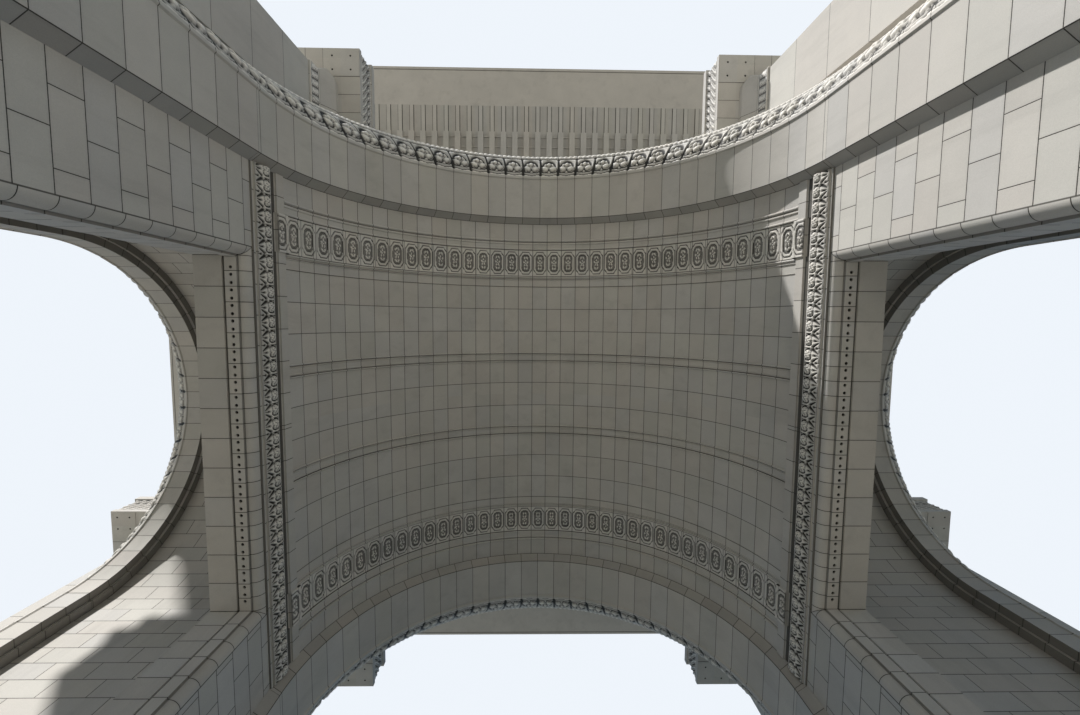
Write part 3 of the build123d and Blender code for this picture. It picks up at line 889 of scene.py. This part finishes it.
def carve_rings(quality):
    """Leaves, buds and beads along the rounded edge of each arch ring."""
    main = (spring, ring_carving_start, (ring_outer_radius, ring_outer_face), True, ring_bulge)
    side = (side_spring, side_carving_start, (side_outer_radius, side_outer_face), False, side_bulge)
    rings = (
        ("front", main, -1, voussoir_degrees, "carved_ring", 1.0),
        ("back", main, 1, voussoir_degrees, "carved_ring", 0.9),
        ("left", side, -1, side_voussoir_degrees, "carved_side", 0.8),
        ("right", side, 1, side_voussoir_degrees, "carved_side", 0.8),
    )
    evenly = np.linspace(0.0, 1.0, 200)
    for name, shape, sign, unit_degrees, kind, share in rings:
        level, inner, outer, *_ = shape
        middle = (inner[0] + outer[0]) / 2
        pitch = radians(unit_degrees) * middle
        start = radians(joint_start_degrees) * middle
        foot, head = -level + 0.002, pi * middle + level - 0.002
        run = np.linspace(foot, head, int((head - foot) / pitch * quality * share))
        rows = np.linspace(0.0, 1.0, int(quality * 2.2 * share))
        across = np.interp(rows, evenly + ring_swell * np.sin(pi * evenly), evenly)
        piece = Piece()
        pattern = repeat(over_roll(hooded_flower), pitch, start, 0.06)
        add_relief(piece, splay_place(*shape, sign), run, across, pattern, 0.06)
        piece.make(f"{name}_ring_carving", stone[kind])


def impost_place(sign):
    """Carved face of one impost band, s along Y and t from its lower to its upper edge."""
    low = np.array([vault_radius - 0.036, impost_bottom])
    high = np.array([vault_radius - 0.101, impost_top])
    slope = high - low
    normal = np.array([-slope[1], slope[0]]) / np.hypot(*slope)

    def place(s, t, lift):
        across = low[0] + t * slope[0] + lift * normal[0]
        up = low[1] + t * slope[1] + lift * normal[1]
        return np.stack([sign * across, s, up], axis=-1)

    return place


def carve_imposts(quality):
    """Rosettes and leaves along both impost bands."""
    run = np.linspace(-vault_half + 0.004, vault_half - 0.004, int(2 * vault_half / impost_pitch * quality))
    across = np.linspace(0.0, 1.0, int(quality * 1.3))
    for side, sign in left_and_right:
        piece = Piece()
        pattern = repeat(rosette_and_fan, impost_pitch, 0.0, 0.04)
        add_relief(piece, impost_place(sign), run, across, pattern, 0.02)
        piece.make(f"{side}_impost_carving", stone["carved_impost"])


def vault_place(radius, sign):
    """Points round the main vault, s in degrees and t in metres along Y."""

    def place(s, t, lift):
        angle = np.radians(s)
        reach = radius - lift
        return np.stack([reach * np.cos(angle), sign * t, spring + reach * np.sin(angle)], axis=-1)

    return place


def carve_flower_bands(quality):
    """Bands of medallions round the vault, their last ones laid over the strip at each foot."""
    low, high = flower_band
    across = np.linspace(low + 0.002, high - 0.002, int(quality * 2))
    pattern = repeat(medallion, medallion_degrees, medallion_degrees / 2, 0.032, low, high)
    step = medallion_degrees / (quality * 1.25)
    foot = strip_degrees + 0.05
    first = 2.5 * medallion_degrees
    spans = (
        (first, 180 - first, vault_radius + band_recess, 0.01),
        (foot, first, strip_radius, 0.06),
        (180 - first, 180 - foot, strip_radius, 0.06),
    )
    for end, sign in front_and_back:
        piece = Piece()
        for start, stop, radius, root in spans:
            run = np.linspace(start, stop, int((stop - start) / step) + 2)
            add_relief(piece, vault_place(radius, sign), run, across, pattern, root)
        piece.make(f"{end}_flower_band", stone["carved_flower"])


def add_swept(piece, place, stations, section):
    """Moulding of one closed section carried along its stations."""
    points = np.array(section)
    count = len(points)
    rows = len(stations)
    s, index = np.meshgrid(stations, np.arange(count), indexing="ij")
    vertices = place(s, points[index, 0], points[index, 1])
    grid = np.arange(rows * count).reshape(rows, count)
    faces = []
    for row in range(rows - 1):
        for column in range(count):
            following = (column + 1) % count
            near, far = grid[row], grid[row + 1]
            faces.append((near[column], near[following], far[following], far[column]))
    faces.append(tuple(grid[0, ::-1]))
    faces.append(tuple(grid[-1]))
    piece.add(vertices, faces)


def bead(centre, width, drop):
    """Small rounded moulding section standing on the stone, from its place, width and drop."""
    half, root = width / 2, -0.012
    turns = np.linspace(0, pi, 6)
    curve = [(centre - half * cos(turn), drop * sin(turn) + 0.001) for turn in turns]
    return [(centre - half, root), *curve, (centre + half, root)]


def add_vault_mouldings(quality):
    """Roll mouldings beside the ribs and flower bands."""
    mouldings = (
        (3.975, 0.05, 0.032), (3.9, 0.04, 0.02), (3.765, 0.045, 0.022), (3.05, 0.04, 0.022),
        (2.99, 0.03, 0.018), (2.8, 0.016, 0.01), (1.08, 0.035, 0.028), (1.03, 0.022, 0.014),
        (0.855, 0.035, 0.028), (0.905, 0.022, 0.014),
    )
    stations = np.linspace(haunch_degrees - 0.02, 180.02 - haunch_degrees, 8 * quality)
    for end, sign in front_and_back:
        piece = Piece()
        for moulding in mouldings:
            add_swept(piece, vault_place(vault_radius, sign), stations, bead(*moulding))
        piece.make(f"{end}_vault_mouldings", stone["vault"])


def add_door_strips():
    """Flat band and drilled strip round each doorway, plain down the jambs."""
    inner = vault_radius + door_roll + strip_gap
    strip_width = strip_split - strip_gap - inner
    band_start = strip_split + 3 * strip_gap
    band_width = wall_back - band_start - 0.002
    strip_lift, band_lift = 0.034, 0.012
    dots = int(2 * door_half / dot_pitch) - 2
    dot_start = -dots * dot_pitch / 2
    for side, sign in left_and_right:
        piece = Piece()
        down, along_y, across_x = (0, 0, -1), (0, 1, 0), (sign, 0, 0)
        for index in range(dots):
            shift = 0.004 if index % 2 else -0.004
            corner = (sign * inner, dot_start + index * dot_pitch, door_top)
            hole = (strip_width / 2, dot_pitch / 2 - shift, dot_radius)
            add_drilled(piece, corner, across_x, along_y, down, (strip_width, dot_pitch), hole, strip_lift)
        low_x, high_x = sorted((sign * inner, sign * (inner + strip_width)))
        for low_y, high_y in ((-door_half, dot_start), (-dot_start, door_half)):
            piece.box((low_x, low_y, door_top - strip_lift), (high_x, high_y, door_top + 0.01))
        low_x, high_x = sorted((sign * band_start, sign * (band_start + band_width)))
        piece.box((low_x, -door_half, door_top - band_lift), (high_x, door_half, door_top + 0.01))
        for end in (-1, 1):
            for start, width, lift in ((inner, strip_width, strip_lift), (band_start, band_width, band_lift)):
                low_x, high_x = sorted((sign * start, sign * (start + width)))
                low_y, high_y = sorted((end * (door_half - lift), end * (door_half + 0.01)))
                piece.box((low_x, low_y, 0.001), (high_x, high_y, door_top - lift))
        piece.make(f"{side}_door_strips", stone["drilled_wall"])


def cap_place(sign_x, sign_y):
    """Points at the five turns round one pier cap, at their reach from the pier and their level."""

    def place(s, reach, level):
        turn = s.astype(int)
        by_bay, by_side = np.full_like(reach, bay_face + 0.001), np.full_like(reach, side_face + 0.001)
        inner, outer = bay_half - reach, pier_x + reach
        near, far = side_bay_half - reach, pier_y + reach
        across = np.choose(turn, (inner, inner, outer, outer, by_side))
        deep = np.choose(turn, (by_bay, far, far, near, near))
        return np.stack([sign_x * across, sign_y * deep, level], axis=-1)

    return place


def carve_caps(quality):
    """Leaning leaves under the roll, and a band of large leaves under a crowning slab, on each pier cap."""
    zones = (
        (strip_zone, strip_relief, slanted_leaves, 0.2, 0.022, 0.01, quality * 0.4),
        (band_zone, band_reach, curled_leaf, 0.7, 0.06, band_root, quality * 1.2),
    )
    for name, sign_x, sign_y in corner_piers:
        piece = Piece()
        for (low, high), reach, unit, pitch, depth, root, fineness in zones:
            in_x, out_x = bay_half - reach, pier_x + reach
            in_y, out_y = side_bay_half - reach, pier_y + reach
            runs = (
                ((in_x, bay_face + 0.001), (0, 1), (-1, 0), out_y - bay_face),
                ((in_x, out_y), (1, 0), (0, 1), out_x - in_x),
                ((out_x, out_y), (0, -1), (1, 0), out_y - in_y),
                ((out_x, in_y), (-1, 0), (0, -1), out_x - side_face),
            )
            for corner, along, out, length in runs:
                place = flat_place(
                    (sign_x * corner[0], sign_y * corner[1], low),
                    (sign_x * along[0], sign_y * along[1], 0),
                    (0, 0, 1),
                    (sign_x * out[0], sign_y * out[1], 0),
                )
                count = max(round(length / pitch), 1)
                run = np.linspace(0.0, length, int(count * fineness) + 2)
                across = np.linspace(0.0, high - low, int((high - low) / pitch * fineness) + 2)
                pattern = repeat(unit, length / count, 0.0, depth, 0.0, high - low)
                add_relief(piece, place, run, across, pattern, root)
        add_swept(piece, cap_place(sign_x, sign_y), np.arange(5.0), crown_slab)
        piece.make(f"{name}_cap_carving", stone["carved_cap"])


def add_corner_slabs():
    """Slabs with four drip holes under the two corners of each pier cap beside its bays."""
    margin, gap, thickness, hole_radius = 0.012, 0.006, 0.012, 0.028
    inner_x, outer_x = bay_half - slab_reach + margin, pier_x + slab_reach
    inner_y, outer_y = side_bay_half - slab_reach + margin, pier_y + slab_reach - margin
    slabs = (
        (inner_x, corner_slab[0] - gap, corner_slab[1] + gap, outer_y),
        (outer_x - side_slab_width, outer_x - margin, inner_y, side_slab_end),
    )
    for name, sign_x, sign_y in corner_piers:
        piece = Piece()
        axes = ((sign_x, 0, 0), (0, sign_y, 0), (0, 0, -1))
        for low_x, high_x, low_y, high_y in slabs:
            size = ((high_x - low_x) / 2, (high_y - low_y) / 2)
            for index_x in range(2):
                for index_y in range(2):
                    near_x, near_y = low_x + index_x * size[0], low_y + index_y * size[1]
                    corner = (sign_x * near_x, sign_y * near_y, slab_bottom)
                    hole = (size[0] * (0.48 + 0.02 * index_x), size[1] * 0.48, hole_radius)
                    add_drilled(piece, corner, *axes, size, hole, thickness)
        piece.make(f"{name}_corner_slab", stone["drilled_cap"])


def add_battens():
    """Two low cross strips between the rafters on each side."""
    sides = [(name, sign, body_half_x, body_half_y) for name, sign in front_and_back]
    sides += [(name, sign, body_half_y, body_half_x) for name, sign in left_and_right]
    low, high = batten_bottom, eave_bottom - 0.03
    for name, sign, half_run, start in sides:
        piece = Piece()
        for reach in batten_reaches:
            near, far = sorted((sign * (start + reach - batten_half), sign * (start + reach + batten_half)))
            half = half_run + reach - 0.05
            if (name, sign) in front_and_back:
                piece.box((-half, near, low), (half, far, high))
            else:
                piece.box((near, -half, low), (far, half, high))
        piece.make(f"{name}_battens", stone["rafters"])


def studio():
    """Pale floor, soft light and the camera of the photograph."""
    world = bpy.data.worlds.new("studio")
    scene.world = world
    net = Net(world)
    seen = net.add("Background", {"Color": sky_seen, "Strength": 1.0})
    up = net.add("SeparateXYZ", {0: net.add("TexCoord").outputs["Generated"]}).outputs[2]
    strength = net.span(up, 0.0, 0.5, 0.24, 0.5)
    light = net.add("Background", {"Color": sky_light, "Strength": strength})
    camera_ray = net.add("LightPath").outputs["Is Camera Ray"]
    mix = net.add("MixShader", {0: camera_ray, 1: light.outputs[0], 2: seen.outputs[0]})
    net.add("OutputWorld", {0: mix.outputs[0]})

    add_floor(140.0)

    key = bpy.data.lights.new("key", "SUN")
    key.energy = 5.6
    key.angle = radians(1.3)
    key.color = sun_colour
    lamp = bpy.data.objects.new("key", key)
    lamp.rotation_euler = Vector(sun_direction).to_track_quat("-Z", "Y").to_euler()
    scene.collection.objects.link(lamp)

    scene.view_settings.view_transform = "Standard"
    camera_data = bpy.data.cameras.new("photo_view")
    camera_data.sensor_width = 36.0
    camera_data.lens = focal_pixels / photo_width * camera_data.sensor_width
    camera_data.clip_end = 500.0
    camera = bpy.data.objects.new("photo_view", camera_data)
    turn = Matrix.Identity(3)
    for axis, angle in camera_turns:
        turn = turn @ Matrix.Rotation(angle, 3, axis)
    # The photograph's up is towards the front of the arch, and its view goes up
    axes = turn @ Matrix(((1, 0, 0), (0, -1, 0), (0, 0, -1)))
    camera.matrix_world = Matrix.Translation(camera_place) @ axes.to_4x4()
    scene.collection.objects.link(camera)
    scene.camera = camera


def add_floor(reach):
    """Square floor of the studio, a hair under the arch."""
    mesh = bpy.data.meshes.new("floor")
    level = -0.002
    corners = [(x * reach, y * reach, level) for x, y in ((-1, -1), (1, -1), (1, 1), (-1, 1))]
    mesh.from_pydata(corners, [], [(0, 1, 2, 3)])
    material = bpy.data.materials.new("pale_floor")
    net = Net(material)
    shader = net.add("BsdfPrincipled", {"Base Color": floor_colour, "Roughness": 0.9})
    net.add("OutputMaterial", {0: shader.outputs[0]})
    mesh.materials.append(material)
    floor = bpy.data.objects.new("floor", mesh)
    scene.collection.objects.link(floor)
    return floor


dress_nodes()
fine = 20
carve_rings(fine)
carve_imposts(fine)
carve_flower_bands(fine)
add_vault_mouldings(fine)
add_door_strips()
carve_caps(fine)
add_corner_slabs()
add_battens()
studio()
